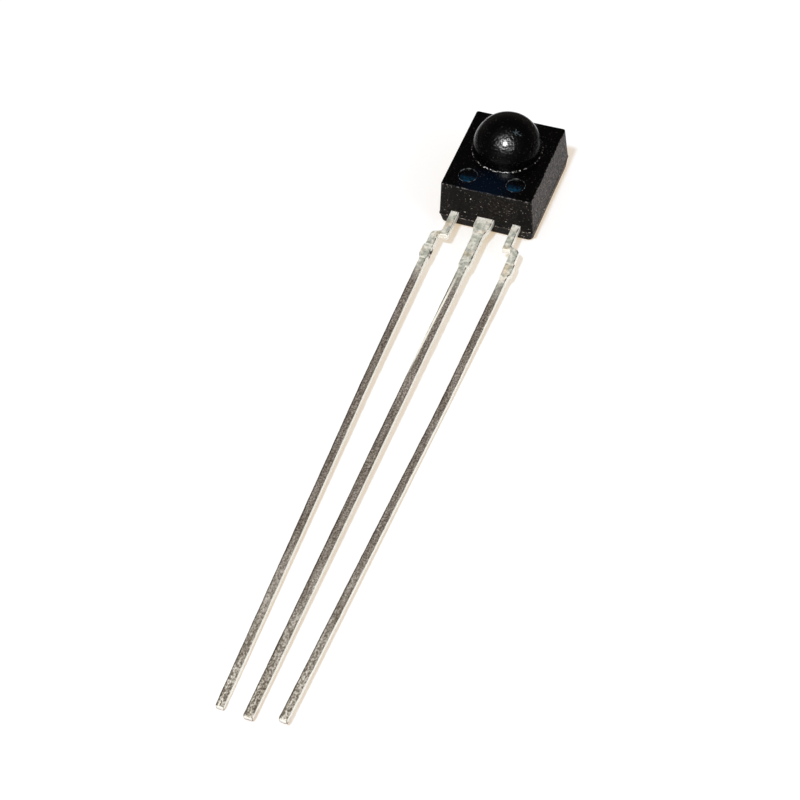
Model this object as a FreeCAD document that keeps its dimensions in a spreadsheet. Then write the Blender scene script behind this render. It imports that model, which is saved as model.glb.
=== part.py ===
import FreeCAD, Part
import math
import os
import Sketcher

# Infrared receiver module with three leads, lying on its back
# X runs across the leads, +Y away from them along the package, +Z out through the lens.
# The origin is the middle of the flat back face. Lengths are millimetres, angles degrees.

DIMENSIONS = {
    # Moulded package, at the plane where the two halves of the mould part
    "package_width": 6.0,
    "package_length": 7.15,
    "back_depth": 0.77,
    "front_depth": 2.4,
    "corner_radius": 0.14,
    "back_corner_radius": 0.34,
    "front_side_draft": 3.0,
    "front_end_draft": 5.2,
    "back_side_draft": 6.0,
    "back_end_draft": 7.0,
    "front_edge_radius": 0.09,
    "back_edge_chamfer": 0.13,
    # Lens dome on the front face, and the marks of two ejector pins below it
    "lens_radius": 2.13,
    "lens_land": 0.14,
    "lens_fillet": 0.12,
    "lens_from_lead_end": 4.28,
    "pit_diameter": 1.15,
    "pit_depth": 0.1,
    "pit_spacing": 3.03,
    "pit_from_lead_end": 1.34,
    # Strip that the leads are stamped from
    "strip_thickness": 0.42,
    "lead_pitch": 2.54,
    "exit_pitch": 1.97,
    # Outer leads, widths across and stations counted outwards from the package
    "exit_width": 0.52,
    "jog_start": 1.63,
    "jog_end": 1.98,
    "jog_slant": 0.16,
    "jog_chamfer": 0.16,
    "outer_wide_width": 0.56,
    "outer_wire_width": 0.48,
    # Centre lead
    "centre_root_width": 1.1,
    "centre_root_end": 0.6,
    "centre_taper_end": 1.4,
    "centre_wide_width": 0.72,
    "centre_wire_width": 0.54,
    # What is left of the cut tie bar, and the shoulder below it
    "stub_start": 2.95,
    "stub_end": 3.82,
    "stub_height": 0.09,
    "shoulder_start": 3.95,
    "shoulder_end": 4.15,
    # Legs below the shoulder: length, and where handling has left the bend and the tip
    "bend_station": 14.0,
    "bend_radius": 60.0,
    "output_length": 36.5,
    "output_bend_drift": 0.11,
    "output_tip_drift": 0.64,
    "output_bend_height": 0.47,
    "output_tip_height": 0.0,
    "ground_length": 36.7,
    "ground_bend_drift": 0.1,
    "ground_tip_drift": 0.22,
    "ground_bend_height": 0.58,
    "ground_tip_height": 0.14,
    "supply_length": 36.4,
    "supply_bend_drift": 0.28,
    "supply_tip_drift": 0.92,
    "supply_bend_height": 0.03,
    "supply_tip_height": 0.34,
    # Lead frame inside the package, stations counted inwards from the lead end
    "post_width": 0.95,
    "post_start": 0.42,
    "post_end": 1.15,
    "paddle_width": 3.8,
    "paddle_start": 1.58,
    "paddle_end": 6.1,
    "paddle_corner": 0.3,
    # Silicon dies and the silver-filled adhesive under them
    "attach_thickness": 0.03,
    "photodiode_side": 1.9,
    "photodiode_thickness": 0.28,
    "amplifier_width": 1.35,
    "amplifier_length": 1.0,
    "amplifier_thickness": 0.25,
    "amplifier_from_lead_end": 2.45,
    # Gold bond wires
    "wire_diameter": 0.03,
    "ball_diameter": 0.09,
    "ball_height": 0.02,
    "loop_height": 0.24,
    "foot_height": 0.07,
    "pad_inset": 0.12,
    "outer_pad_offset": 0.5,
    "diode_pad_offset": 0.3,
}

# Two places closer than this are one
SAME_PLACE = 1e-5
# Bends that would be shorter than this stay sharp
SHORTEST_EDGE = 0.02
# Cutting shapes reach this many times as far as what they cut
SPARE = 2
# Ways an arc bends, seen along it
LEFT, RIGHT = 1, -1
# A small positive turn that fixes an axis before the angle about it is set
SMALL_TURN = 1.0

doc = FreeCAD.newDocument("infrared_receiver")
sheet = doc.addObject("Spreadsheet::Sheet", "Dims")


class Size:
    """A number together with the expression that ties it to the sheet."""

    def __init__(self, value, text):
        self.value = value
        self.text = text

    def __add__(self, other):
        other = as_size(other)
        return Size(self.value + other.value, f"({self.text} + {other.text})")

    def __sub__(self, other):
        other = as_size(other)
        return Size(self.value - other.value, f"({self.text} - {other.text})")

    def __mul__(self, other):
        other = as_size(other)
        return Size(self.value * other.value, f"({self.text} * {other.text})")

    def __truediv__(self, other):
        other = as_size(other)
        return Size(self.value / other.value, f"({self.text} / {other.text})")

    def __neg__(self):
        return Size(-self.value, f"(-1 * {self.text})")


def as_size(number):
    return number if isinstance(number, Size) else Size(float(number), repr(float(number)))


def tangent(angle):
    return Size(math.tan(math.radians(angle.value)), f"tan({angle.text})")


def direction(rise, run):
    return Size(math.degrees(math.atan2(rise.value, run.value)), f"atan2({rise.text}; {run.text})")


def absolute(size):
    return Size(abs(size.value), f"abs({size.text})")


def hypotenuse(a, b):
    return Size(math.hypot(a.value, b.value), f"sqrt({a.text} ^ 2 + {b.text} ^ 2)")


def fill_sheet():
    """One row for each driving dimension: its name, and its value under that name."""
    for row, (name, value) in enumerate(DIMENSIONS.items(), start=1):
        sheet.set(f"A{row}", name)
        sheet.set(f"B{row}", str(value))
        sheet.setAlias(f"B{row}", name)
    doc.recompute()


def dim(name):
    return Size(float(sheet.get(name)), f"Dims.{name}")


def inwards(station):
    """Y of a place that lies station inside the package's lead end."""
    return as_size(station) - dim("package_length") / 2


def outwards(station):
    """Y of a place on a lead that lies station outside the package's lead end."""
    return -(as_size(station) + dim("package_length") / 2)


def bind(owner, path, size):
    owner.setExpression(path, as_size(size).text)


def new_body(label):
    body = doc.addObject("PartDesign::Body", label)
    body.Label = label
    return body


def new_sketch(body, name, role, lift=None, along=None):
    """A sketch on the origin plane of that role, moved off it by lift and along its X by along."""
    sketch = body.newObject("Sketcher::SketchObject", name)
    plane = [feature for feature in body.Origin.OriginFeatures if feature.Role == role][0]
    sketch.AttachmentSupport = [(plane, "")]
    sketch.MapMode = "FlatFace"
    if lift is not None:
        bind(sketch, "AttachmentOffset.Base.z", lift)
    if along is not None:
        bind(sketch, "AttachmentOffset.Base.x", along)
    return sketch


def hold(sketch, kind, geometry, point, size):
    """Pins one coordinate of a point of the sketch to a size."""
    index = sketch.addConstraint(Sketcher.Constraint(kind, geometry, point, size.value))
    bind(sketch, f"Constraints[{index}]", size)


def hold_radius(sketch, geometry, size):
    index = sketch.addConstraint(Sketcher.Constraint("Radius", geometry, size.value))
    bind(sketch, f"Constraints[{index}]", size)


def arc_between(start, end, radius, turn):
    """The short arc from start to end, which bends the way turn says."""
    chord = end - start
    middle = (start + end) * 0.5
    left = FreeCAD.Vector(-chord.y, chord.x, 0).normalize()
    depth = math.sqrt(max(radius ** 2 - (chord.Length / 2) ** 2, 0.0))
    return Part.Arc(start, middle - left * (turn * (radius - depth)), end)


def draw_path(sketch, corners, closed=True):
    """Lines and arcs through corners, each an x, a y and, if an arc leaves it, a radius and a turn."""
    corners = [tuple(as_size(part) for part in corner[:2]) + tuple(corner[2:]) for corner in corners]
    points = [FreeCAD.Vector(corner[0].value, corner[1].value, 0) for corner in corners]
    edge_total = len(corners) if closed else len(corners) - 1
    ends = []
    for number in range(edge_total):
        start, end = points[number], points[(number + 1) % len(points)]
        if len(corners[number]) > 2:
            radius, turn = corners[number][2:]
            index = sketch.addGeometry(arc_between(start, end, radius.value, turn), False)
            hold_radius(sketch, index, radius)
            ends.append((index, 1, 2) if turn == LEFT else (index, 2, 1))
        else:
            index = sketch.addGeometry(Part.LineSegment(start, end), False)
            ends.append((index, 1, 2))
    for number, (index, first, last) in enumerate(ends):
        hold(sketch, "DistanceX", index, first, corners[number][0])
        hold(sketch, "DistanceY", index, first, corners[number][1])
        if closed or number < edge_total - 1:
            after = ends[(number + 1) % edge_total]
            sketch.addConstraint(Sketcher.Constraint("Coincident", index, last, after[0], after[1]))
    if not closed:
        hold(sketch, "DistanceX", ends[-1][0], ends[-1][2], corners[-1][0])
        hold(sketch, "DistanceY", ends[-1][0], ends[-1][2], corners[-1][1])


def draw_circle(sketch, x, y, radius):
    x, y = as_size(x), as_size(y)
    centre = FreeCAD.Vector(x.value, y.value, 0)
    circle = Part.Circle(centre, FreeCAD.Vector(0, 0, 1), radius.value)
    index = sketch.addGeometry(circle, False)
    hold(sketch, "DistanceX", index, 3, x)
    hold(sketch, "DistanceY", index, 3, y)
    hold_radius(sketch, index, radius)


def draw_rounded_rectangle(sketch, width, length, radius):
    """A rectangle about the sketch's origin with arcs for corners."""
    x, y = width / 2, length / 2
    draw_path(sketch, [
        (radius - x, -y),
        (x - radius, -y, radius, LEFT),
        (x, radius - y),
        (x, y - radius, radius, LEFT),
        (x - radius, y),
        (radius - x, y, radius, LEFT),
        (-x, y - radius),
        (-x, radius - y, radius, LEFT),
    ])


def unit(start, end):
    run, rise = end[0] - start[0], end[1] - start[1]
    length = hypotenuse(run, rise)
    return run / length, rise / length


def eased(start, corner, end):
    """The corner between start and end, as two tangent points with the bend's arc between them."""
    (back_x, back_y), (fore_x, fore_y) = unit(start, corner), unit(corner, end)
    cross = back_x * fore_y - back_y * fore_x
    reach = dim("bend_radius") * absolute(cross) / (back_x * fore_x + back_y * fore_y + 1.0)
    if reach.value < SHORTEST_EDGE:
        return [corner]
    turn = LEFT if cross.value > 0 else RIGHT
    return [
        (corner[0] - reach * back_x, corner[1] - reach * back_y, dim("bend_radius"), turn),
        (corner[0] + reach * fore_x, corner[1] + reach * fore_y),
    ]


def add_pad(body, sketch, length, symmetric=False):
    pad = body.newObject("PartDesign::Pad", sketch.Name + "_pad")
    pad.Profile = sketch
    bind(pad, "Length", length)
    if symmetric:
        pad.SideType = "Symmetric"
    sketch.Visibility = False
    return pad


def soften(body, base, kind, name, size, chosen):
    """A Fillet or a Chamfer of that size on the edges of base that chosen picks."""
    doc.recompute()
    names = [f"Edge{number}" for number, edge in enumerate(base.Shape.Edges, start=1) if chosen(edge)]
    softened = body.newObject("PartDesign::" + kind, name)
    softened.Base = (base, names)
    bind(softened, "Radius" if kind == "Fillet" else "Size", size)
    return softened


def lies_at_height(height):
    """Picks edges with both ends at one height."""
    def chosen(edge):
        return all(abs(vertex.Z - height.value) < SAME_PLACE for vertex in edge.Vertexes)
    return chosen


def rings_at(x, y, height, radius):
    """Picks edges whose ends lie on one level circle."""
    def chosen(edge):
        return all(abs(math.hypot(vertex.X - x.value, vertex.Y - y.value) - radius.value) < SAME_PLACE
                   and abs(vertex.Z - height.value) < SAME_PLACE for vertex in edge.Vertexes)
    return chosen


def package_blank():
    """Both halves of the moulding, the lens and the ejector marks, before the inserts are taken out."""
    body = new_body("package_blank")
    width, length, radius = dim("package_width"), dim("package_length"), dim("corner_radius")
    parting, thickness = dim("back_depth"), dim("back_depth") + dim("front_depth")

    def half(name, height, depth, face_radius):
        side_inset = depth * tangent(dim(name + "_side_draft"))
        end_inset = depth * tangent(dim(name + "_end_draft"))
        wide = new_sketch(body, name + "_parting", "XY_Plane", parting)
        draw_rounded_rectangle(wide, width, length, radius)
        narrow = new_sketch(body, name + "_face", "XY_Plane", height)
        draw_rounded_rectangle(narrow, width - side_inset * 2, length - end_inset * 2, face_radius)
        loft = body.newObject("PartDesign::AdditiveLoft", name + "_half")
        loft.Profile = wide
        loft.Sections = [narrow]
        loft.Ruled = True
        return loft

    half("front", thickness, dim("front_depth"), radius)
    back = half("back", as_size(0.0), parting, dim("back_corner_radius"))
    floor_edges, face_edges = lies_at_height(as_size(0.0)), lies_at_height(thickness)
    back = soften(body, back, "Chamfer", "back_edges", dim("back_edge_chamfer"), floor_edges)
    soften(body, back, "Fillet", "front_edges", dim("front_edge_radius"), face_edges)

    lens = new_sketch(body, "lens_profile", "YZ_Plane", along=inwards(dim("lens_from_lead_end")))
    lens_radius, equator = dim("lens_radius"), thickness + dim("lens_land")
    draw_path(lens, [
        (0.0, parting + dim("strip_thickness")),
        (lens_radius, parting + dim("strip_thickness")),
        (lens_radius, equator, lens_radius, LEFT),
        (0.0, equator + lens_radius),
    ])
    dome = body.newObject("PartDesign::Revolution", "lens_dome")
    dome.Profile = lens
    dome.ReferenceAxis = (lens, ["V_Axis"])
    dome.Angle = 360
    foot = rings_at(as_size(0.0), inwards(dim("lens_from_lead_end")), thickness, lens_radius)
    base = soften(body, dome, "Fillet", "lens_base", dim("lens_fillet"), foot)

    pits = new_sketch(body, "pit_circles", "XY_Plane", thickness)
    for side in (-1, 1):
        draw_circle(pits, dim("pit_spacing") / 2 * side, inwards(dim("pit_from_lead_end")),
                    dim("pit_diameter") / 2)
    doc.recompute()
    before = base.Shape.Volume
    marks = body.newObject("PartDesign::Pocket", "ejector_marks")
    marks.Profile = pits
    bind(marks, "Length", dim("pit_depth"))
    doc.recompute()
    if marks.Shape.Volume >= before:
        raise RuntimeError("the ejector marks cut nothing")
    return body


def strip_form(name, length, bend_height, tip_height, inner_end):
    """Side view of a lead: level inside the package, then down to the bend and on to the tip."""
    body = new_body(name + "_form")
    underside, thick = dim("back_depth"), dim("strip_thickness")
    stations = [
        (inwards(inner_end), underside),
        (outwards(0.0), underside),
        (outwards(dim("bend_station")), bend_height),
        (outwards(length), tip_height),
    ]
    topside = [(y, height + thick) for y, height in stations]
    sketch = new_sketch(body, name + "_side", "YZ_Plane")
    draw_path(sketch, stations[:2] + eased(*stations[1:]) + stations[3:]
              + topside[:2:-1] + eased(*topside[:0:-1]) + topside[1::-1])
    add_pad(body, sketch, dim("package_width") * SPARE, symmetric=True)
    return body


def stamped_lead(name, outline, length, bend_height, tip_height, inner_end):
    """A lead cut to its outline in plan and formed to its side view."""
    body = new_body(name + "_outline")
    sketch = new_sketch(body, name + "_plan", "XY_Plane")
    draw_path(sketch, outline)
    strip_top = dim("back_depth") + dim("strip_thickness")
    add_pad(body, sketch, strip_top * 2 * SPARE, symmetric=True)
    lead = doc.addObject("Part::Common", name)
    lead.Label = name
    lead.Base = body
    lead.Tool = strip_form(name, length, bend_height, tip_height, inner_end)
    return lead


def leg_edge(corners):
    """One edge of a leg, with its bend eased."""
    return corners[:1] + eased(*corners) + corners[2:]


def leg(name):
    """Length, then drift and height of the bend and the tip, of one lead's leg."""
    parts = ("length", "bend_drift", "tip_drift", "bend_height", "tip_height")
    return [dim(f"{name}_{part}") for part in parts]


def outer_lead(name, side, length, bend_drift, tip_drift, bend_height, tip_height):
    """An outer lead: bond post, exit, sideways jog out to the pitch, tie-bar stub, shoulder and leg."""
    exit_x, exit_half = dim("exit_pitch"), dim("exit_width") / 2
    pitch, wide_half, wire_half = dim("lead_pitch"), dim("outer_wide_width") / 2, dim("outer_wire_width") / 2
    bend_x, tip_x = pitch - bend_drift, pitch - tip_drift
    post_half, slant, chamfer = dim("post_width") / 2, dim("jog_slant"), dim("jog_chamfer")
    inner_leg = [
        (pitch - wire_half, outwards(dim("shoulder_end"))),
        (bend_x - wire_half, outwards(dim("bend_station"))),
        (tip_x - wire_half, outwards(length)),
    ]
    outer_leg = [(x + wire_half * 2, y) for x, y in inner_leg[::-1]]
    inner_edge = [
        (exit_x - post_half, inwards(dim("post_end"))),
        (exit_x - post_half, inwards(dim("post_start"))),
        (exit_x - exit_half, inwards(dim("post_start"))),
        (exit_x - exit_half, outwards(dim("jog_end"))),
        (pitch - wide_half, outwards(dim("jog_end"))),
        (pitch - wide_half, outwards(dim("shoulder_start"))),
    ]
    outer_edge = [
        (pitch + wide_half, outwards(dim("shoulder_start"))),
        (pitch + wide_half, outwards(dim("stub_end"))),
        (pitch + wide_half + dim("stub_height"), outwards(dim("stub_end"))),
        (pitch + wide_half + dim("stub_height"), outwards(dim("stub_start"))),
        (pitch + wide_half, outwards(dim("stub_start"))),
        (pitch + wide_half, outwards(dim("jog_start") + slant + chamfer)),
        (pitch + wide_half - chamfer, outwards(dim("jog_start") + slant)),
        (exit_x + exit_half, outwards(dim("jog_start"))),
        (exit_x + exit_half, inwards(dim("post_start"))),
        (exit_x + post_half, inwards(dim("post_start"))),
        (exit_x + post_half, inwards(dim("post_end"))),
    ]
    inner_edge, inner_leg, outer_leg, outer_edge = (
        [(x * side, y) for x, y in run] for run in (inner_edge, inner_leg, outer_leg, outer_edge))
    outline = inner_edge + leg_edge(inner_leg) + leg_edge(outer_leg) + outer_edge
    return stamped_lead(name, outline, length, bend_height, tip_height, dim("post_end"))


def centre_lead(name, length, bend_drift, tip_drift, bend_height, tip_height):
    """The ground lead, in one piece with the paddle that carries both dies."""
    root, wide = dim("centre_root_width") / 2, dim("centre_wide_width") / 2
    wire, paddle, cut = dim("centre_wire_width") / 2, dim("paddle_width") / 2, dim("paddle_corner")
    upper = [
        (root, inwards(dim("paddle_start"))),
        (paddle - cut, inwards(dim("paddle_start"))),
        (paddle, inwards(dim("paddle_start") + cut)),
        (paddle, inwards(dim("paddle_end") - cut)),
        (paddle - cut, inwards(dim("paddle_end"))),
    ]
    lower = [
        (wide, outwards(dim("shoulder_start"))),
        (wide, outwards(dim("centre_taper_end"))),
        (root, outwards(dim("centre_root_end"))),
    ]
    right_leg = [
        (wire - tip_drift, outwards(length)),
        (wire - bend_drift, outwards(dim("bend_station"))),
        (wire, outwards(dim("shoulder_end"))),
    ]
    left_leg = [(x - wire * 2, y) for x, y in right_leg[::-1]]
    left = [(-x, y) for x, y in (lower + upper)[::-1]]
    outline = leg_edge(right_leg) + lower + upper + left + leg_edge(left_leg)
    return stamped_lead(name, outline, length, bend_height, tip_height, dim("paddle_end"))


def block(label, width, length, height, base, from_lead_end):
    """A flat block about X 0 that stands on base."""
    box = doc.addObject("Part::Box", label)
    box.Label = label
    bind(box, "Length", width)
    bind(box, "Width", length)
    bind(box, "Height", height)
    bind(box, "Placement.Base.x", -(width / 2))
    bind(box, "Placement.Base.y", inwards(from_lead_end) - length / 2)
    bind(box, "Placement.Base.z", base)
    return box


def bond_wire(label, start, end):
    """A wire from the ball on a die's pad at start, up its neck, down the slope and on to end."""
    body = new_body(label)
    run_x, run_y = end[0] - start[0], end[1] - start[1]
    span, drop = hypotenuse(run_x, run_y), start[2] - end[2]
    ball = new_sketch(body, label + "_ball", "XY_Plane")
    draw_circle(ball, 0.0, 0.0, dim("ball_diameter") / 2)
    add_pad(body, ball, dim("ball_height"))
    section = new_sketch(body, label + "_section", "XY_Plane")
    draw_circle(section, 0.0, 0.0, dim("wire_diameter") / 2)
    route = new_sketch(body, label + "_route", "XZ_Plane")
    draw_path(route, [
        (0.0, 0.0),
        (0.0, dim("loop_height")),
        (span, dim("foot_height") - drop),
        (span, -drop),
    ], closed=False)
    doc.recompute()
    pipe = body.newObject("PartDesign::AdditivePipe", label + "_pipe")
    pipe.Profile = section
    pipe.Spine = (route, [f"Edge{number}" for number in range(1, len(route.Shape.Edges) + 1)])
    pipe.Transition = "Right corner"
    turned = FreeCAD.Rotation(FreeCAD.Vector(0, 0, 1), SMALL_TURN)
    body.Placement = FreeCAD.Placement(FreeCAD.Vector(), turned)
    for axis, place in zip("xyz", start):
        bind(body, f"Placement.Base.{axis}", place)
    bind(body, "Placement.Rotation.Angle", direction(run_y, run_x))
    return body


def build():
    fill_sheet()
    frame_top = dim("back_depth") + dim("strip_thickness")
    die_base = frame_top + dim("attach_thickness")
    diode_y, amplifier_y = dim("lens_from_lead_end"), dim("amplifier_from_lead_end")
    diode_top = die_base + dim("photodiode_thickness")
    amplifier_top = die_base + dim("amplifier_thickness")
    side = dim("photodiode_side")
    leads = [
        outer_lead("lead_output", -1, *leg("output")),
        centre_lead("lead_ground", *leg("ground")),
        outer_lead("lead_supply", 1, *leg("supply")),
    ]
    dies = [
        block("photodiode_attach", side, side, dim("attach_thickness"), frame_top, diode_y),
        block("photodiode_die", side, side, dim("photodiode_thickness"), die_base, diode_y),
        block("amplifier_attach", dim("amplifier_width"), dim("amplifier_length"),
              dim("attach_thickness"), frame_top, amplifier_y),
        block("amplifier_die", dim("amplifier_width"), dim("amplifier_length"),
              dim("amplifier_thickness"), die_base, amplifier_y),
    ]
    low_row = inwards(amplifier_y - dim("amplifier_length") / 2 + dim("pad_inset"))
    high_row = inwards(amplifier_y + dim("amplifier_length") / 2 - dim("pad_inset"))
    diode_row = inwards(diode_y - side / 2 + dim("pad_inset"))
    post_row = inwards((dim("post_start") + dim("post_end")) / 2)
    neck_row = inwards(dim("post_end"))
    pad_x, post_x, diode_x = dim("outer_pad_offset"), dim("exit_pitch"), dim("diode_pad_offset")
    nothing = as_size(0.0)
    wires = [
        bond_wire("wire_output", (-pad_x, low_row, amplifier_top), (-post_x, post_row, frame_top)),
        bond_wire("wire_ground", (nothing, low_row, amplifier_top), (nothing, neck_row, frame_top)),
        bond_wire("wire_supply", (pad_x, low_row, amplifier_top), (post_x, post_row, frame_top)),
        bond_wire("wire_anode", (-diode_x, diode_row, diode_top), (-diode_x, high_row, amplifier_top)),
        bond_wire("wire_cathode", (diode_x, diode_row, diode_top), (diode_x, high_row, amplifier_top)),
    ]
    inserts = doc.addObject("Part::MultiFuse", "inserts")
    inserts.Shapes = leads + dies + wires
    package = doc.addObject("Part::Cut", "package")
    package.Label = "package"
    package.Base = package_blank()
    package.Tool = inserts
    doc.recompute()
    return [package] + leads + dies + wires


def check(nodes):
    for item in doc.Objects:
        if "Invalid" in item.State or "Error" in item.State:
            raise RuntimeError(f"{item.Label} failed: {item.State}")
    for node in nodes:
        if node.Shape.isNull() or not node.Shape.isValid() or len(node.Shape.Solids) != 1:
            raise RuntimeError(f"{node.Label} is not one valid solid")


def export(nodes):
    os.makedirs("parts", exist_ok=True)
    for node in nodes:
        node.Shape.exportStep(os.path.join("parts", node.Label + ".step"))
        print(f"{node.Label}: {node.Shape.Volume:.5f} mm3")


parts = build()
check(parts)
export(parts)
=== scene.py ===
import math
import random
import bpy
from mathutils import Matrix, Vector


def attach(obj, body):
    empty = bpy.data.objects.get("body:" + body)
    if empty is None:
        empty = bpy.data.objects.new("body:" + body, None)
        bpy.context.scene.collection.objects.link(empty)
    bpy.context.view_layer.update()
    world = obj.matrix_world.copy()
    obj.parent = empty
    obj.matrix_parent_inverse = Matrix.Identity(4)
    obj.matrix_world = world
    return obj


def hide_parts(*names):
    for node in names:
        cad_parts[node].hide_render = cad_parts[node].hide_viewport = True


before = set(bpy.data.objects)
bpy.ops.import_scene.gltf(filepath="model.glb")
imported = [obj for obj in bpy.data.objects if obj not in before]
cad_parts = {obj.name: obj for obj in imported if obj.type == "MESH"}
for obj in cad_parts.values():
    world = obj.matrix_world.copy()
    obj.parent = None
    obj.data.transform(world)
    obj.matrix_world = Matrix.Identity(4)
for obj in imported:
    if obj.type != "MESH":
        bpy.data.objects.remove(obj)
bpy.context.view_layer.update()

# Infrared receiver module: a black moulded package with three tin-plated leads, on white paper.

MM = 0.001
# Sizes of the package, in millimetres
PACKAGE_WIDTH, PACKAGE_LENGTH = 6.0, 7.15
PARTING_HEIGHT = 0.77
FACE_HEIGHT = 3.17
CORNER_RADIUS = 0.14
END_SLOPE, BACK_SLOPE = math.tan(math.radians(5.2)), math.tan(math.radians(7.0))
LENS_FOOT = (0.0, 0.705, FACE_HEIGHT)
LENS_RADIUS = 2.13
LENS_BASE = 3.31
FOOT_RADIUS = 2.29
PIT_CENTRES = ((-1.515, -2.235), (1.515, -2.235))
PIT_RADIUS = 0.575
PIT_DEPTH = 0.1
# Heights between which the package's skin changes, from matte to polished and at the lens
MATTE_TOP, POLISHED_FROM = 3.09, 3.15
FOOT_FROM, FOOT_FULL = 3.172, 3.19
DOME_FROM, DOME_FULL = 3.30, 3.36
# Places along the leads, which run towards -Y
BRIGHT_TO, BRIGHT_FULL = -4.1, -3.75
ROOT_END, LEG_FROM = -6.6, -9.2
TIE_BAR_EDGE, TIE_BAR, SHOULDER = -6.53, -7.1, -7.62
DRAWN_LINE, DRAWN_HALF, DRAWN_LEAN = -12.5, 5.2, -0.0286
LEG_END, TIP_FULL = -27.0, -39.0
CLIPPED_FROM = -39.5
# The output lead lies to the left of this
OUTPUT_SIDE = -1.2
# How far to the side and beyond the paper starts to darken, and over what length it does
ASIDE, BEYOND, FADE = 7.0, 8.0, 5.0
# The smallest crumb of flash, and how much larger they get
CRUMB_RADIUS, CRUMB_SPREAD = 0.011, 0.019
# The sockets that a Mix node uses for colours
FACTOR, A, B, RESULT = 0, 6, 7, 2


def colour(code):
    """The linear colour of an sRGB hex code such as "8a8f8c", or of a grey level."""
    if not isinstance(code, str):
        return (code, code, code, 1.0)

    def linear(part):
        value = int(part, 16) / 255
        return value / 12.92 if value <= 0.04045 else ((value + 0.055) / 1.055) ** 2.4
    return tuple(linear(code[i:i + 2]) for i in (0, 2, 4)) + (1.0,)


def add(tree, kind, inputs=None, stops=(), **settings):
    """A node with its settings. An input is a value, or a socket to link from. A ramp has stops."""
    node = tree.nodes.new("ShaderNode" + kind)
    for name, value in settings.items():
        setattr(node, name, value)
    for key, value in (inputs or {}).items():
        if isinstance(value, bpy.types.NodeSocket):
            tree.links.new(value, node.inputs[key])
        else:
            node.inputs[key].default_value = value
    for number, (place, tint) in enumerate(stops):
        bands = node.color_ramp.elements
        band = bands[number] if number < len(bands) else bands.new(place)
        band.position = place
        band.color = colour(tint)
    return node


def new_material(name, **surface):
    """A material with one Principled shader whose constant values are given by name."""
    material = bpy.data.materials.new(name)
    material.use_nodes = True
    shader = material.node_tree.nodes["Principled BSDF"]
    for key, value in surface.items():
        shader.inputs[key.replace("_", " ")].default_value = value
    return material, material.node_tree, shader


def surface_point(tree):
    """Where a point lies on the object, in millimetres."""
    metres = add(tree, "TexCoord").outputs["Object"]
    return add(tree, "VectorMath", {0: metres, "Scale": 1 / MM}, operation="SCALE").outputs[0]


def mottle(tree, point, size, *stops, detail=3.0, stretch=(1.0, 1.0, 1.0)):
    """A cloudy pattern with blotches about that many millimetres across, coloured by the stops."""
    spread = add(tree, "Mapping", {"Vector": point, "Scale": Vector(stretch) / size}).outputs[0]
    cloud = add(tree, "TexNoise", {"Vector": spread, "Scale": 1.0, "Detail": detail})
    return add(tree, "ValToRGB", {"Fac": cloud.outputs["Fac"]}, stops=stops).outputs["Color"]


def near(tree, point, centre, inner, outer):
    """1 within inner millimetres of the centre, fading to 0 at outer."""
    away = add(tree, "VectorMath", {0: point, 1: centre}, operation="DISTANCE").outputs["Value"]
    return add(tree, "MapRange", {"Value": away, "From Min": outer, "From Max": inner},
               interpolation_type="SMOOTHSTEP").outputs[0]


def stripe(tree, value, centre, half):
    """1 where the value is at the centre, fading to 0 at half a stripe's width from it."""
    away = add(tree, "Math", {0: value, 1: centre}, operation="SUBTRACT").outputs[0]
    away = add(tree, "Math", {0: away}, operation="ABSOLUTE").outputs[0]
    return add(tree, "MapRange", {"Value": away, "From Min": half, "From Max": 0.4 * half},
               interpolation_type="SMOOTHSTEP").outputs[0]


# Materials

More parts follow.
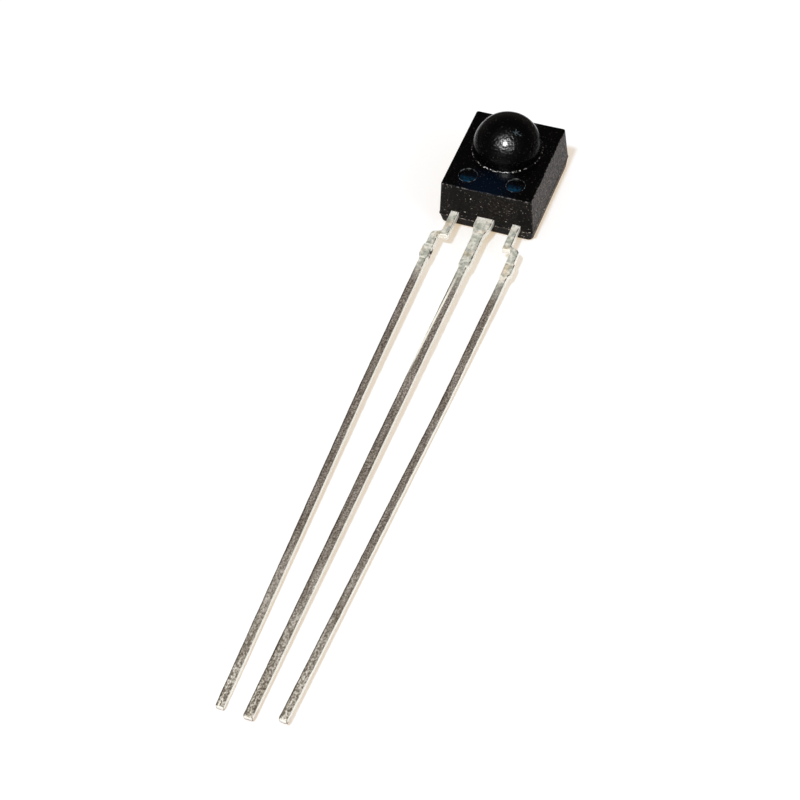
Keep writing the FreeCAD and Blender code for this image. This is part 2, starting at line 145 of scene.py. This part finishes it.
def moulded_epoxy():
    """Black moulding epoxy, which only infrared passes. The mould was polished for the lens and the
    front, so they are glossy. The sides are matte from a spark-eroded mould and show pale filler.
    The polished skin is a coat of low index: black seen face on, with a bright thin rim."""
    material, tree, shader = new_material(
        "moulded_epoxy", IOR=1.55, Specular_IOR_Level=0.08, Coat_Roughness=0.08, Coat_IOR=1.12)
    point = surface_point(tree)
    place = add(tree, "SeparateXYZ", {0: point}).outputs
    polished = add(tree, "MapRange", {
        "Value": place["Z"], "From Min": MATTE_TOP, "From Max": POLISHED_FROM},
        interpolation_type="SMOOTHSTEP").outputs[0]
    for x, y in PIT_CENTRES:
        middle = (x, y, FACE_HEIGHT - PIT_DEPTH / 2)
        pit = near(tree, point, middle, PIT_RADIUS + 0.01, PIT_RADIUS + 0.06)
        polished = add(tree, "Math", {0: polished, 1: pit}, operation="MAXIMUM").outputs[0]
    dome = add(tree, "MapRange", {
        "Value": place["Z"], "From Min": DOME_FROM, "From Max": DOME_FULL}).outputs[0]

    # The matte ends are mottled by the filler, with bright grains. The long sides are painted
    # lighter and browner: their grain, with a painted sheen of grazing light on it
    matte = mottle(tree, point, 0.14, (0.36, "060504"), (0.52, "120e0c"), (0.68, "302924"))
    haze = mottle(
        tree, point, 0.9, (0.36, "6d6460"), (0.62, "ffffff"), detail=2.0, stretch=(1, 1, 0.4))
    matte = add(tree, "Mix", {FACTOR: 1.0, A: matte, B: haze},
                data_type="RGBA", blend_type="MULTIPLY").outputs[RESULT]
    grains = mottle(tree, point, 0.11, (0.69, 0.0), (0.74, 1.0), detail=1.0)
    facing = add(tree, "SeparateXYZ", {0: add(tree, "TexCoord").outputs["Normal"]}).outputs["X"]
    facing = add(tree, "Math", {0: facing}, operation="ABSOLUTE").outputs[0]
    long_side_sheen = add(tree, "MapRange", {
        "Value": facing, "From Min": 0.75, "From Max": 0.95}).outputs[0]
    grain_and_sheen = mottle(tree, point, 0.12, (0.36, "0c0706"), (0.52, "2b2320"), (0.66, "6f6059"))
    for share, over in ((grains, colour("7b746b")), (long_side_sheen, grain_and_sheen)):
        matte = add(tree, "Mix", {FACTOR: share, A: matte, B: over},
                    data_type="RGBA").outputs[RESULT]

    # The polished front has a painted blue reflection below the lens, and has dust on it
    front_blue_reflection = near(tree, point, (-0.1, -3.0, FACE_HEIGHT), 0.4, 2.3)
    dust = mottle(tree, point, 0.09, (0.68, 0.0), (0.75, 0.5), detail=1.0)
    gloss = colour("040303")
    for share, over in ((front_blue_reflection, "020b18"), (dome, "020202"), (dust, "4a4643")):
        gloss = add(tree, "Mix", {FACTOR: share, A: gloss, B: colour(over)},
                    data_type="RGBA").outputs[RESULT]

    # The lower half of each ejector mark has a painted blue reflection
    for x, y in PIT_CENTRES:
        floor_centre = (x, y, FACE_HEIGHT - PIT_DEPTH)
        inside = near(tree, point, floor_centre, PIT_RADIUS - 0.2, PIT_RADIUS)
        lower = add(tree, "MapRange", {
            "Value": place["Y"], "From Min": y + 0.2, "From Max": y - 0.45},
            interpolation_type="SMOOTHSTEP").outputs[0]
        pit_blue_reflection = add(tree, "Math", {0: inside, 1: lower}, operation="MULTIPLY").outputs[0]
        sheen = mottle(tree, point, 0.16, (0.36, "03111c"), (0.66, "11405c"))
        gloss = add(tree, "Mix", {FACTOR: pit_blue_reflection, A: gloss, B: sheen},
                    data_type="RGBA").outputs[RESULT]

    # Crossed scratches high on the lens, each with its place, its turn in degrees and its length
    for x, y, turn, length in (
            (0.88, 0.10, 6, 0.34), (0.76, 0.14, 100, 0.24), (0.82, 0.15, 50, 0.20)):
        height = math.sqrt(LENS_RADIUS ** 2 - x ** 2 - (y - LENS_FOOT[1]) ** 2) + LENS_BASE
        centre = Vector((x, y, height))
        across = Vector((-math.sin(math.radians(turn)), math.cos(math.radians(turn)), 0))
        offset = add(tree, "VectorMath", {0: point, 1: across}, operation="DOT_PRODUCT")
        line = stripe(tree, offset.outputs["Value"], centre.dot(across), 0.036)
        part = near(tree, point, centre, 0.6 * length, length)
        scratch = add(tree, "Math", {0: line, 1: part}, operation="MULTIPLY").outputs[0]
        gloss = add(tree, "Mix", {FACTOR: scratch, A: gloss, B: colour("3b464b")},
                    data_type="RGBA").outputs[RESULT]

    # A painted glint: pale broken dashes in the corner round the lens, strongest on the lead side,
    # where the lamp's glint falls
    foot_painted_glint = stripe(tree, place["Z"], FACE_HEIGHT + 0.037, 0.035)
    glint_dashes = mottle(tree, point, 0.16, (0.54, 0.0), (0.62, 1.0))
    glint_side = add(tree, "MapRange", {
        "Value": place["Y"], "From Min": -0.7, "From Max": -1.4,
        "To Min": 0.25, "To Max": 1.0}).outputs[0]
    for part in (glint_dashes, glint_side):
        foot_painted_glint = add(tree, "Math", {0: foot_painted_glint, 1: part}, operation="MULTIPLY").outputs[0]

    # Painted highlights: the rounded edge of the front and the rims of the ejector marks are
    # painted pale in broken places
    worn = stripe(tree, place["Z"], FACE_HEIGHT - 0.050, 0.045)
    broken = mottle(tree, point, 0.16, (0.46, 0.0), (0.60, 0.8), detail=2.0)
    worn = add(tree, "Math", {0: worn, 1: broken}, operation="MULTIPLY").outputs[0]

    gloss = add(tree, "Mix", {FACTOR: foot_painted_glint, A: gloss, B: colour("dcd8d2")},
                data_type="RGBA").outputs[RESULT]
    skin = matte
    # Over the matte skin go the polished skin, and the painted highlights on its edge
    for share, over in ((polished, gloss), (worn, colour("6f6c69"))):
        skin = add(tree, "Mix", {FACTOR: share, A: skin, B: over},
                   data_type="RGBA").outputs[RESULT]
    tree.links.new(skin, shader.inputs["Base Color"])

    dull = mottle(tree, point, 0.10, (0.35, 0.34), (0.65, 0.54))
    shine = mottle(tree, point, 0.3, (0.3, 0.15), (0.7, 0.22))
    shine = add(tree, "Mix", {FACTOR: dome, A: shine, B: colour(0.26)},
                data_type="RGBA").outputs[RESULT]
    rough = add(tree, "Mix", {FACTOR: polished, A: dull, B: shine},
                data_type="RGBA").outputs[RESULT]
    tree.links.new(rough, shader.inputs["Roughness"])
    tree.links.new(polished, shader.inputs["Coat Weight"])

    # Relief: the spark-eroded grain, and a fine pebble on the lens and on the fillet at its foot
    round_foot = near(tree, point, LENS_FOOT, FOOT_RADIUS, FOOT_RADIUS + 0.04)
    foot = add(tree, "MapRange", {
        "Value": place["Z"], "From Min": FOOT_FROM, "From Max": FOOT_FULL}).outputs[0]
    foot = add(tree, "Math", {0: foot, 1: round_foot}, operation="MULTIPLY").outputs[0]
    depth = colour(0.22)
    for share, strength in ((polished, 0.03), (foot, 0.9), (dome, 0.7)):
        depth = add(tree, "Mix", {FACTOR: share, A: depth, B: colour(strength)},
                    data_type="RGBA").outputs[RESULT]
    pebble = mottle(tree, point, 0.15, (0.2, 0.0), (0.8, 1.0), detail=2.0)
    bump = add(tree, "Bump", {"Height": pebble, "Strength": depth, "Distance": 0.04 * MM})
    tree.links.new(bump.outputs[0], shader.inputs["Normal"])
    return material


def tin_plate():
    """Matte tin plated on a stamped steel strip. The flat roots are frosty and pale, with a painted
    shade line and painted highlights along their edges. The legs were handled and rubbed, so they
    are duller and brown, with painted shade on their left edges and bright scuffed tips. The
    sheared sides and ends are painted near white, a painted reflection of the white paper, and bare
    steel shows where the tie bar was cut away."""
    material, tree, shader = new_material("tin_plate")
    point = surface_point(tree)
    place = add(tree, "SeparateXYZ", {0: point}).outputs
    facing = add(tree, "SeparateXYZ", {0: add(tree, "TexCoord").outputs["Normal"]}).outputs
    across = add(tree, "Math", {0: facing["X"]}, operation="ABSOLUTE").outputs[0]
    ended = add(tree, "Math", {0: facing["Y"]}, operation="ABSOLUTE").outputs[0]
    across = add(tree, "Math", {0: across, 1: ended}, operation="MAXIMUM").outputs[0]

    # How far along the lead a point lies, with a cloudy border between root, leg and tip
    cloud = add(tree, "TexNoise", {"Vector": point, "Scale": 1 / 0.8, "Detail": 2.0}).outputs["Fac"]
    along = add(tree, "Math", {0: cloud, 1: 1.6, 2: place["Y"]},
                operation="MULTIPLY_ADD").outputs[0]
    leg = add(tree, "MapRange", {"Value": along, "From Min": ROOT_END, "From Max": LEG_FROM},
              interpolation_type="SMOOTHSTEP").outputs[0]
    root = add(tree, "Math", {0: 1.0, 1: leg}, operation="SUBTRACT").outputs[0]
    tip = add(tree, "MapRange", {
        "Value": along, "From Min": LEG_END, "From Max": TIP_FULL}).outputs[0]

    # The frosty roots, with solder-bright plating where they leave the package
    frosty = mottle(
        tree, point, 0.26, (0.32, "a9aca1"), (0.5, "d3d2c6"), (0.66, "fffaee"), detail=4.0)
    tint = mottle(
        tree, point, 1.0, (0.36, "eaeee9"), (0.5, "ffffff"), (0.64, "fff3e4"), detail=2.0)
    frosty = add(tree, "Mix", {FACTOR: 1.0, A: frosty, B: tint},
                 data_type="RGBA", blend_type="MULTIPLY").outputs[RESULT]
    leaving = add(tree, "MapRange", {
        "Value": place["Y"], "From Min": BRIGHT_TO, "From Max": BRIGHT_FULL}).outputs[0]
    patches = mottle(tree, point, 0.12, (0.38, 0.2), (0.54, 1.0))
    leaving = add(tree, "Math", {0: leaving, 1: patches}, operation="MULTIPLY").outputs[0]
    frosty = add(tree, "Mix", {FACTOR: leaving, A: frosty, B: colour("fbf8ee")},
                 data_type="RGBA").outputs[RESULT]

    # The rubbed legs and scuffed tips, streaked along, and with painted shade on the left edge,
    # where the bevel mirrors the dark
    rubbed = mottle(tree, point, 0.09, (0.34, "7b7169"), (0.5, "ada398"), (0.64, "e6dbce"))
    scuffed = mottle(
        tree, point, 0.10, (0.40, "857d71"), (0.5, "bbb3a3"), (0.58, "fffaee"), stretch=(1, 0.7, 1))
    rubbed = add(tree, "Mix", {FACTOR: tip, A: rubbed, B: scuffed},
                 data_type="RGBA").outputs[RESULT]
    streaks = mottle(tree, point, 0.16, (0.35, "bdb7b0"), (0.65, "ffffff"), stretch=(1, 0.06, 1))
    turned = add(tree, "Math", {0: facing["X"], 1: 0.5, 2: 0.5},
                 operation="MULTIPLY_ADD").outputs[0]
    left_edge_painted_shade = add(tree, "ValToRGB", {"Fac": turned}, stops=(
        (0.04, "d8d0c6"), (0.14, "7c736b"), (0.34, "7c736b"), (0.48, "ffffff"))).outputs["Color"]
    for shade in (streaks, left_edge_painted_shade):
        rubbed = add(tree, "Mix", {FACTOR: 1.0, A: rubbed, B: shade},
                     data_type="RGBA", blend_type="MULTIPLY").outputs[RESULT]

    # Painted shade: a dark broken line along the sheared side of each root. Painted highlights:
    # bright edges beyond it
    root_painted_shade = stripe(tree, facing["X"], 0.34, 0.30)
    dots = mottle(tree, point, 0.2, (0.40, 0.1), (0.56, 1.0))
    for part in (root, dots):
        root_painted_shade = add(tree, "Math", {0: root_painted_shade, 1: part}, operation="MULTIPLY").outputs[0]
    edge = stripe(tree, across, 0.75, 0.30)
    edge = add(tree, "Math", {0: edge, 1: root}, operation="MULTIPLY").outputs[0]

    # A long drawn line on the centre leg, and the press marks where the tie bar joined the leads
    lean = add(tree, "Math", {0: place["Y"], 1: DRAWN_LEAN, 2: place["X"]},
               operation="MULTIPLY_ADD").outputs[0]
    drawn = stripe(tree, lean, 0.16, 0.09)
    reach = stripe(tree, place["Y"], DRAWN_LINE, DRAWN_HALF)
    drawn = add(tree, "Math", {0: drawn, 1: reach}, operation="MULTIPLY").outputs[0]
    pressed = stripe(tree, place["Y"], TIE_BAR_EDGE, 0.07)
    shoulder = stripe(tree, place["Y"], SHOULDER, 0.10)
    pressed = add(tree, "Math", {0: pressed, 1: shoulder}, operation="MAXIMUM").outputs[0]
    broken = mottle(tree, point, 0.25, (0.42, 0.0), (0.55, 0.75))
    pressed = add(tree, "Math", {0: pressed, 1: broken}, operation="MULTIPLY").outputs[0]
    marks = add(tree, "Math", {0: drawn, 1: pressed}, operation="MAXIMUM").outputs[0]

    # The sheared sides and ends, painted near white as a painted reflection of the paper, and on
    # the output lead the steel of the cut tie bar
    side = add(tree, "MapRange", {"Value": across, "From Min": 0.86, "From Max": 0.95},
               interpolation_type="SMOOTHSTEP").outputs[0]
    cut = stripe(tree, place["Y"], TIE_BAR, 0.55)
    output = add(tree, "Math", {0: place["X"], 1: OUTPUT_SIDE}, operation="LESS_THAN").outputs[0]
    faces = add(tree, "MapRange", {"Value": across, "From Min": 0.5, "From Max": 0.8}).outputs[0]
    torn = mottle(tree, point, 0.22, (0.40, 0.0), (0.50, 1.0))
    for part in (output, faces, torn):
        cut = add(tree, "Math", {0: cut, 1: part}, operation="MULTIPLY").outputs[0]

    # The ends were clipped off, and they are brown along the lower edge, where they face down
    clipped = add(tree, "Math", {0: place["Y"], 1: CLIPPED_FROM}, operation="LESS_THAN").outputs[0]
    under = add(tree, "MapRange", {
        "Value": facing["Z"], "From Min": 0.02, "From Max": -0.20}).outputs[0]
    clipped = add(tree, "Math", {0: clipped, 1: under}, operation="MULTIPLY").outputs[0]
    bare = add(tree, "Math", {0: clipped, 1: cut}, operation="MAXIMUM").outputs[0]

    skin = frosty
    # Over the frosty roots go the legs, the painted shade, the painted highlights, the painted
    # reflection on the sides and the real marks
    for share, over in (
            (leg, rubbed), (root_painted_shade, colour("4f463b")), (edge, colour("fffaf0")),
            (marks, colour("fbf7e8")), (side, colour("fffbf0")), (cut, colour("2d231b")),
            (clipped, colour("6b4a40"))):
        skin = add(tree, "Mix", {FACTOR: share, A: skin, B: over},
                   data_type="RGBA").outputs[RESULT]
    tree.links.new(skin, shader.inputs["Base Color"])

    rough = mottle(tree, point, 0.2, (0.3, 0.50), (0.7, 0.64))
    worn = mottle(tree, point, 0.1, (0.3, 0.30), (0.7, 0.46))
    for share, over in ((leg, worn), (side, colour(0.22)), (bare, colour(0.8))):
        rough = add(tree, "Mix", {FACTOR: share, A: rough, B: over},
                    data_type="RGBA").outputs[RESULT]
    tree.links.new(rough, shader.inputs["Roughness"])
    metal = colour(0.2)
    for share, level in ((leg, 0.45), (tip, 0.15), (side, 0.25), (marks, 0.0), (bare, 0.0)):
        metal = add(tree, "Mix", {FACTOR: share, A: metal, B: colour(level)},
                    data_type="RGBA").outputs[RESULT]
    tree.links.new(metal, shader.inputs["Metallic"])

    pits = mottle(tree, point, 0.12, (0.25, 0.0), (0.75, 1.0), stretch=(1, 0.7, 1))
    depth = add(tree, "Mix", {FACTOR: side, A: colour(0.8), B: colour(0.08)},
                data_type="RGBA").outputs[RESULT]
    bump = add(tree, "Bump", {"Height": pits, "Strength": depth, "Distance": 0.02 * MM})
    tree.links.new(bump.outputs[0], shader.inputs["Normal"])
    return material


def gold():
    """Drawn gold bond wire, bright and faintly uneven."""
    material, tree, shader = new_material("gold", Metallic=1.0)
    point = surface_point(tree)
    for socket, first, last in (("Base Color", "d9a441", "f3cd75"), ("Roughness", 0.15, 0.3)):
        tree.links.new(mottle(tree, point, 0.02, (0.3, first), (0.7, last)), shader.inputs[socket])
    return material


def silicon(name, dark, light):
    """Polished silicon under its passivation, with the faint blocks of its circuit."""
    material, tree, shader = new_material(name, Metallic=0.3)
    blocks = add(tree, "TexVoronoi", {"Vector": surface_point(tree), "Scale": 1 / 0.12},
                 distance="CHEBYCHEV").outputs["Distance"]
    for socket, first, last in (("Base Color", dark, light), ("Roughness", 0.12, 0.3)):
        shade = add(tree, "ValToRGB", {"Fac": blocks}, stops=((0.2, first), (0.6, last)))
        tree.links.new(shade.outputs["Color"], shader.inputs[socket])
    return material


def silver_adhesive():
    """Silver-filled epoxy adhesive, cured dull with metal flakes in it."""
    material, tree, shader = new_material("silver_adhesive", Metallic=0.6)
    point = surface_point(tree)
    for socket, first, last in (("Base Color", "8d8b86", "d5d3cd"), ("Roughness", 0.7, 0.4)):
        flakes = mottle(tree, point, 0.03, (0.35, first), (0.65, last))
        tree.links.new(flakes, shader.inputs[socket])
    return material


def torn_epoxy(name, *stops):
    """The same epoxy where it is a few hundredths thick and torn, so its filler shows pale. On the
    ejector rims the pale is a painted highlight.
    """
    material, tree, shader = new_material(name, IOR=1.55)
    point = surface_point(tree)
    tree.links.new(mottle(tree, point, 0.16, *stops), shader.inputs["Base Color"])
    rough = mottle(tree, point, 0.05, (0.4, 0.35), (0.7, 0.6))
    tree.links.new(rough, shader.inputs["Roughness"])
    return material


# Modelling

def pick_only(piece):
    bpy.ops.object.select_all(action="DESELECT")
    piece.select_set(True)
    bpy.context.view_layer.objects.active = piece


def resize(piece, factor):
    """Scales the piece's mesh about the origin."""
    pick_only(piece)
    piece.scale = (factor, factor, factor)
    bpy.ops.object.transform_apply(location=True, rotation=True, scale=True)


def settle(piece, material):
    """Bakes the piece's place into its mesh, and gives it its finish and the body it rides on."""
    pick_only(piece)
    bpy.ops.object.transform_apply(location=True, rotation=True, scale=True)
    piece.data.materials.clear()
    piece.data.materials.append(material)
    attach(piece, "root")


def finish_with(piece, kind, **settings):
    """Adds a modifier with its settings and applies it."""
    modifier = piece.modifiers.new(kind.lower(), kind)
    for name, value in settings.items():
        setattr(modifier, name, value)
    bpy.ops.object.modifier_apply(modifier=modifier.name)


def uneven(name, size):
    """A cloud texture for a displacement, with hollows of that size."""
    cloud = bpy.data.textures.new(name, "CLOUDS")
    cloud.noise_scale = size
    cloud.noise_depth = 1
    return cloud


def plated_lead(node, name, material):
    """The stamped lead as its plating leaves it, with soft edges and a slightly wavy surface. It is
    worked on at a thousand times its size, so that lengths in here are millimetres."""
    piece = bpy.data.objects.new(name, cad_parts[node].data.copy())
    bpy.context.scene.collection.objects.link(piece)
    resize(piece, 1 / MM)
    bpy.ops.object.mode_set(mode="EDIT")
    bpy.ops.mesh.select_mode(type="VERT")
    bpy.ops.mesh.select_all(action="SELECT")
    bpy.ops.mesh.remove_doubles(threshold=0.0005)
    bpy.ops.mesh.dissolve_limited(angle_limit=math.radians(0.5))
    bpy.ops.mesh.select_all(action="DESELECT")
    bpy.ops.mesh.select_mode(type="EDGE")
    bpy.ops.mesh.edges_select_sharp(sharpness=math.radians(30))
    bpy.ops.mesh.bevel(offset=0.075, segments=3, clamp_overlap=False)
    bpy.ops.mesh.select_all(action="SELECT")
    bpy.ops.mesh.normals_make_consistent(inside=False)
    bpy.ops.object.mode_set(mode="OBJECT")
    finish_with(piece, "REMESH", mode="VOXEL", voxel_size=0.05)
    for texture, strength in ((uneven("waves", 0.5), 0.018), (uneven("dents", 0.16), 0.014)):
        finish_with(piece, "DISPLACE", texture=texture, strength=strength, texture_coords="LOCAL")
    bpy.ops.object.shade_smooth()
    resize(piece, MM)
    settle(piece, material)
    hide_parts(node)
    return piece


def parting_flash(material):
    """The torn fin of epoxy that the two halves of the mould leave round the package."""
    width, length, reach = PACKAGE_WIDTH - 0.04, PACKAGE_LENGTH - 0.04, 0.045
    bpy.ops.object.select_all(action="DESELECT")
    bpy.ops.mesh.primitive_plane_add(size=1, location=(0, 0, (PARTING_HEIGHT - 0.01) * MM))
    piece = bpy.context.active_object
    piece.name = "parting_flash"
    piece.scale = (width * MM, length * MM, 1)
    bpy.ops.object.transform_apply(location=True, rotation=True, scale=True)
    bpy.ops.object.mode_set(mode="EDIT")
    bpy.ops.mesh.select_mode(type="VERT")
    bpy.ops.mesh.select_all(action="SELECT")
    bpy.ops.mesh.bevel(affect="VERTICES", offset=CORNER_RADIUS * MM, segments=4)
    bpy.ops.mesh.select_all(action="SELECT")
    bpy.ops.mesh.delete(type="ONLY_FACE")
    bpy.ops.object.mode_set(mode="OBJECT")
    # Only the four long sides are cut up. The edges round the corners are short as they are
    mesh = piece.data
    for edge in mesh.edges:
        a, b = (mesh.vertices[i].co for i in edge.vertices)
        edge.select = (a - b).length > MM
    bpy.ops.object.mode_set(mode="EDIT")
    bpy.ops.mesh.select_mode(type="EDGE")
    bpy.ops.mesh.subdivide(number_cuts=70)
    bpy.ops.mesh.select_all(action="SELECT")
    bpy.ops.mesh.extrude_edges_move()
    outer = (width + 2 * reach) / width, (length + 2 * reach) / length, 1
    bpy.ops.transform.resize(value=outer)
    bpy.ops.mesh.select_mode(type="VERT")
    bpy.ops.transform.vertex_random(offset=0.016 * MM, uniform=0.0, normal=0.0, seed=3)
    bpy.ops.object.mode_set(mode="OBJECT")
    finish_with(piece, "SOLIDIFY", thickness=0.022 * MM, offset=0)
    bpy.ops.object.mode_set(mode="EDIT")
    bpy.ops.mesh.select_all(action="SELECT")
    bpy.ops.mesh.normals_make_consistent(inside=False)
    bpy.ops.object.mode_set(mode="OBJECT")
    settle(piece, material)


def crumb_places(draw):
    """Where crumbs of flash cling: most along the parting line, a few on the lead end."""
    half_width, half_length, line = PACKAGE_WIDTH / 2, PACKAGE_LENGTH / 2, PARTING_HEIGHT
    places = []
    # Along the parting line at the lead end
    for _ in range(34):
        places.append((draw.uniform(-2.85, 2.85), -half_length, line + draw.gauss(0, 0.04)))
    # On the lead end, above the parting line and below it
    for _ in range(14):
        height = draw.uniform(0.9, 2.9)
        end = (height - line) * END_SLOPE - half_length
        places.append((draw.uniform(-2.8, 2.8), end, height))
    for _ in range(7):
        height = draw.uniform(0.25, 0.7)
        end = (line - height) * BACK_SLOPE - half_length
        places.append((draw.uniform(1.9, 2.8), end, height))
    # Along the parting line at the sides and the far end
    for _ in range(12):
        side = draw.choice((-1, 1)) * half_width
        places.append((side, draw.uniform(-3.3, 3.3), line))
    for _ in range(10):
        places.append((draw.uniform(-2.8, 2.8), half_length, line + draw.gauss(0, 0.03)))
    return places


def flash_crumbs(material):
    """Torn grains of flash that cling round the parting line."""
    draw = random.Random(11)
    bpy.ops.object.select_all(action="DESELECT")
    bpy.ops.mesh.primitive_ico_sphere_add(subdivisions=2, radius=MM, location=(0, 0, 0))
    piece = bpy.context.active_object
    piece.name = "flash_crumbs"
    bpy.ops.object.mode_set(mode="EDIT")
    bpy.ops.mesh.select_all(action="SELECT")
    bpy.ops.transform.vertex_random(offset=0.45 * MM, uniform=0.0, normal=0.0, seed=5)
    bpy.ops.object.mode_set(mode="OBJECT")
    grains = []
    for place in crumb_places(draw):
        grain = piece.copy()
        grain.data = piece.data.copy()
        bpy.context.scene.collection.objects.link(grain)
        grain.location = Vector(place) * MM
        grain.rotation_euler = [draw.uniform(0, math.tau) for _ in range(3)]
        size = CRUMB_RADIUS + CRUMB_SPREAD * draw.random() ** 2
        grain.scale = [size * draw.uniform(0.4, 1.6) for _ in range(3)]
        grains.append(grain)
    bpy.data.objects.remove(piece)
    pick_only(grains[0])
    for grain in grains:
        grain.select_set(True)
    bpy.ops.object.join()
    grains[0].name = "flash_crumbs"
    settle(grains[0], material)


def ejector_burrs(material):
    """The fine raised rims that the ejector pins leave round their marks."""
    for number, (x, y) in enumerate(PIT_CENTRES):
        bpy.ops.object.select_all(action="DESELECT")
        bpy.ops.mesh.primitive_torus_add(
            location=(x * MM, y * MM, FACE_HEIGHT * MM), major_radius=(PIT_RADIUS + 0.008) * MM,
            minor_radius=0.02 * MM, major_segments=72, minor_segments=8)
        rim = bpy.context.active_object
        rim.name = f"ejector_burr_{number + 1}"
        bpy.ops.object.mode_set(mode="EDIT")
        bpy.ops.mesh.select_all(action="SELECT")
        bpy.ops.transform.vertex_random(offset=0.012 * MM, uniform=0.0, normal=0.0, seed=number)
        bpy.ops.object.mode_set(mode="OBJECT")
        bpy.ops.object.shade_smooth()
        settle(rim, material)


epoxy, tin, adhesive, gold_wire = moulded_epoxy(), tin_plate(), silver_adhesive(), gold()
finishes = {
    "package": epoxy,
    "lead_output": tin,
    "lead_ground": tin,
    "lead_supply": tin,
    "photodiode_attach": adhesive,
    "amplifier_attach": adhesive,
    "photodiode_die": silicon("photodiode_silicon", "10182e", "2a3d66"),
    "amplifier_die": silicon("amplifier_silicon", "3a3a42", "6c6a72"),
}
for name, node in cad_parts.items():
    node.data.materials.clear()
    node.data.materials.append(finishes.get(name, gold_wire))

leads = [plated_lead(f"lead_{end}", f"plated_{end}_lead", tin)
         for end in ("output", "ground", "supply")]
parting_flash(torn_epoxy("flash_edge", (0.42, "14100f"), (0.56, "3f3935"), (0.69, "d6cdc1")))
flash_crumbs(torn_epoxy("flash_crumb", (0.4, "8f867c"), (0.6, "e2dacd")))
# The ejector rims are painted pale blue-grey in broken arcs, a painted highlight along their edges
ejector_burrs(torn_epoxy("ejector_rim_painted_glint", (0.50, "090808"), (0.66, "747f83")))


# Camera, at the photograph's viewing angle

camera = bpy.data.objects.new("camera", bpy.data.cameras.new("camera"))
bpy.context.scene.collection.objects.link(camera)
camera.location = Vector((33.235, -92.543, 97.224)) * MM
camera.rotation_euler = [math.radians(angle) for angle in (40.0598, 3.1451, 20.4211)]
camera.data.lens = 100
camera.data.sensor_width = 36
camera.data.clip_start = 0.005
camera.data.clip_end = 20
bpy.context.scene.camera = camera


# White paper, soft studio light

def paper():
    """White paper. The camera, gloss and metal see it as white, with the shadow left warm."""
    material = bpy.data.materials.new("paper")
    material.use_nodes = True
    tree = material.node_tree
    tree.nodes.clear()
    rays = add(tree, "LightPath").outputs
    seen = rays["Is Camera Ray"]
    for ray in ("Is Glossy Ray", "Is Transmission Ray"):
        seen = add(tree, "Math", {0: seen, 1: rays[ray]}, operation="MAXIMUM").outputs[0]
    plain = add(tree, "BsdfDiffuse", {"Color": colour(0.85)}).outputs[0]
    lit = add(tree, "BsdfDiffuse", {"Color": (0.47, 0.62, 0.81, 1)}).outputs[0]
    glow = add(tree, "Emission", {"Color": (0.585, 0.435, 0.255, 1)}).outputs[0]
    shown = add(tree, "AddShader", {0: lit, 1: glow}).outputs[0]
    # Well to the side and beyond the object the sheet falls out of the light for what gloss mirrors
    place = add(tree, "SeparateXYZ", {0: surface_point(tree)}).outputs
    aside = add(tree, "Math", {0: place["X"]}, operation="ABSOLUTE").outputs[0]
    aside = add(tree, "MapRange", {
        "Value": aside, "From Min": ASIDE, "From Max": ASIDE + FADE}).outputs[0]
    beyond = add(tree, "MapRange", {
        "Value": place["Y"], "From Min": BEYOND, "From Max": BEYOND + FADE}).outputs[0]
    far = add(tree, "Math", {0: aside, 1: beyond}, operation="MAXIMUM").outputs[0]
    far = add(tree, "Math", {0: far, 1: rays["Is Glossy Ray"]}, operation="MULTIPLY").outputs[0]
    dim = add(tree, "Emission", {"Color": colour("403c3a")}).outputs[0]
    shown = add(tree, "MixShader", {0: far, 1: shown, 2: dim}).outputs[0]
    both = add(tree, "MixShader", {0: seen, 1: plain, 2: shown}).outputs[0]
    add(tree, "OutputMaterial", {"Surface": both})
    return material


# The sheet lies a hair below the package, so that the two never share a plane
bpy.ops.object.select_all(action="DESELECT")
bpy.ops.mesh.primitive_plane_add(size=3, location=(0, 0, -0.002 * MM))
floor = bpy.context.active_object
floor.name = "paper"
floor.data.materials.append(paper())


def lamp(name, direction, width, share, diffuse=True, glossy=True, only=()):
    """A round soft lamp, half a metre away. share is the part of a white sheet's full brightness
    that it gives. Where pieces are given as only, the lamp lights nothing else."""
    distance = 0.5
    data = bpy.data.lights.new(name, "AREA")
    lit = bpy.data.objects.new(name, data)
    bpy.context.scene.collection.objects.link(lit)
    towards = Vector(direction).normalized()
    lit.location = towards * distance
    lit.rotation_euler = towards.to_track_quat("Z", "Y").to_euler()
    data.shape = "DISK"
    data.size = width
    data.energy = share * (math.pi * distance) ** 2 / towards.z
    lit.visible_diffuse = diffuse
    lit.visible_glossy = glossy
    if only:
        lit.light_linking.receiver_collection = bpy.data.collections.new(name)
        for piece in only:
            lit.light_linking.receiver_collection.objects.link(piece)


# The key and fill cast light, the glint is what the lens mirrors, and the sheen the leads
GLINT = (0.086, -0.605, 0.792)
lamp("key_lamp", (-0.06, -0.56, 1.0), 0.05, 0.52, glossy=False)
lamp("fill_lamp", (0.8, -0.3, 0.5), 0.25, 0.08, glossy=False)
lamp("glint_lamp", GLINT, 0.13, 4.0, diffuse=False, only=[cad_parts["package"]])
lamp("sheen_lamp", GLINT, 0.25, 0.5, diffuse=False, only=leads)


def studio():
    """White for the camera, soft light all round, and dark walls for what the gloss mirrors."""
    world = bpy.data.worlds.new("studio")
    bpy.context.scene.world = world
    world.use_nodes = True
    tree = world.node_tree
    tree.nodes.clear()
    rays = add(tree, "LightPath").outputs
    up = add(tree, "SeparateXYZ", {0: add(tree, "TexCoord").outputs["Generated"]}).outputs["Z"]
    mirrored = add(tree, "ValToRGB", {"Fac": up}, stops=(
        (0.0, "7e7571"), (0.2, "5a5452"), (0.5, "484645"), (1.0, "484848"))).outputs["Color"]
    shown = colour(0.42)
    for ray, over in (("Is Glossy Ray", mirrored), ("Is Camera Ray", colour(1.0))):
        shown = add(tree, "Mix", {FACTOR: rays[ray], A: shown, B: over},
                    data_type="RGBA").outputs[RESULT]
    add(tree, "OutputWorld", {"Surface": add(tree, "Background", {"Color": shown}).outputs[0]})


studio()
bpy.context.scene.view_settings.view_transform = "Standard"
